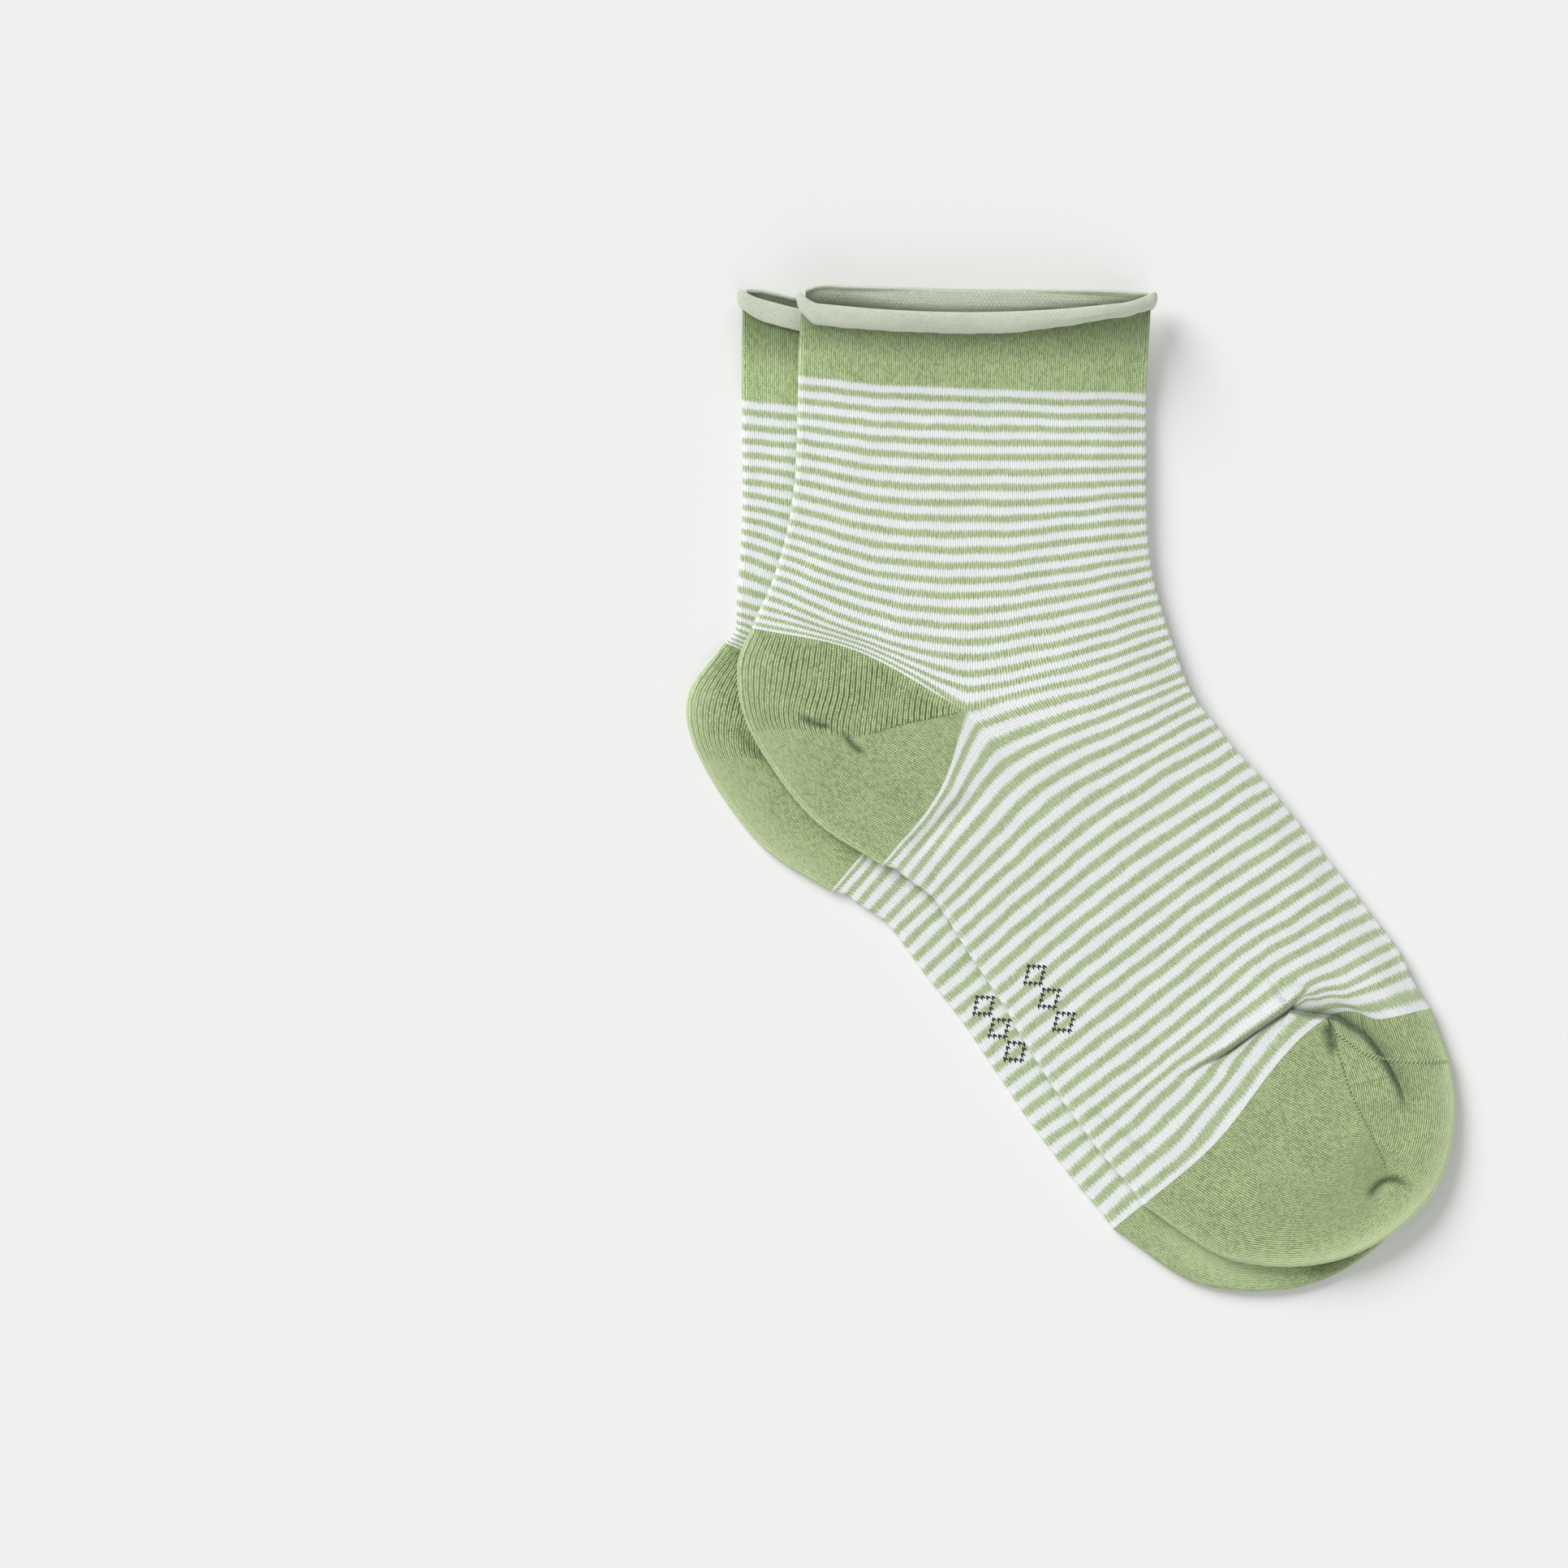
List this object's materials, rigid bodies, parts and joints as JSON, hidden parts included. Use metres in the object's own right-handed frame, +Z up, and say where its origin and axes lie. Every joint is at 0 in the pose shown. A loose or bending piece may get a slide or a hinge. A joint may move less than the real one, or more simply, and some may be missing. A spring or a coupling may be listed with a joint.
{
  "type": "pair of short knitted socks",
  "caption": "Pair of short knitted socks lying flat, one on the other, with rolled top edges, striped legs and feet, and plain heels and toes.",
  "frame": {"origin": "middle of the pair's footprint, on the surface that it lies on", "axes": "+Z up from that surface, +Y towards the cuffs, +X towards the toes' side, so the toes point to +X -Y"},
  "size_m": [0.1894, 0.247, 0.0165],
  "materials": {
    "green_knit": "matt plain knit, sage green with a pale fleck",
    "pale_green_knit": "matt fuzzy reverse knit, pale sage green",
    "striped_knit": "matt plain knit, white with narrow sage green stripes"
  },
  "bodies": {
    "root": {"upper_sock_rolled_edge": "pale_green_knit", "upper_sock_cuff_band": "green_knit", "upper_sock_leg_and_foot": "striped_knit", "upper_sock_heel": "green_knit", "upper_sock_toe": "green_knit", "under_sock_rolled_edge": "pale_green_knit", "under_sock_cuff_band": "green_knit", "under_sock_leg_and_foot": "striped_knit", "under_sock_heel": "green_knit", "under_sock_toe": "green_knit"}
  },
  "joints": []
}
